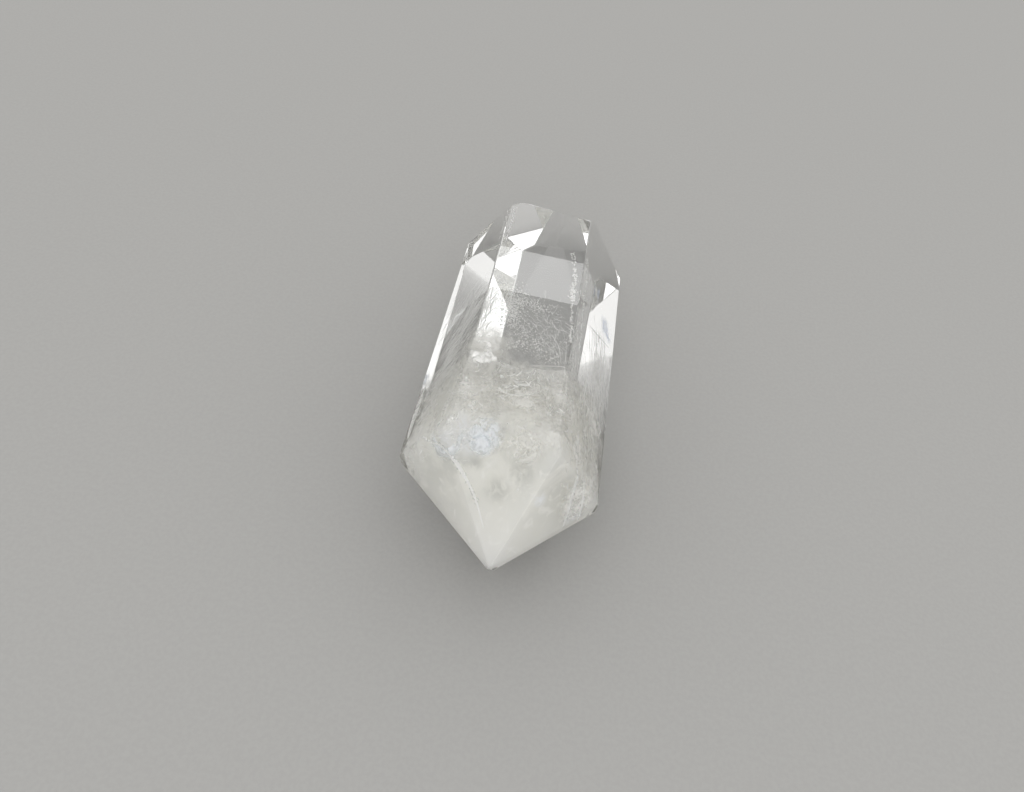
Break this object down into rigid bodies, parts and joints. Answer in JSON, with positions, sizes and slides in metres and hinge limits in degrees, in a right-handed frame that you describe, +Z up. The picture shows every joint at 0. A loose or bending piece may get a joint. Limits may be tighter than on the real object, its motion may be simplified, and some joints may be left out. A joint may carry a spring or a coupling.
{
  "type": "double terminated quartz crystal",
  "caption": "Polished hexagonal quartz crystal with a faceted point at each end, lying on a side face; clear at one end and milky towards the other.",
  "frame": {"origin": "middle of the underside of the crystal's box, on the base face that it rests on", "axes": "+Y along the crystal from the milky near point to the clear far point, +Z up, +X to the right as seen from the near point"},
  "size_m": [0.023, 0.0628, 0.0198],
  "materials": {
    "clear_quartz": "polished clear crystal with white veils and specks inside, milky towards the near point"
  },
  "bodies": {
    "root": {"quartz_crystal": "clear_quartz"}
  },
  "joints": []
}
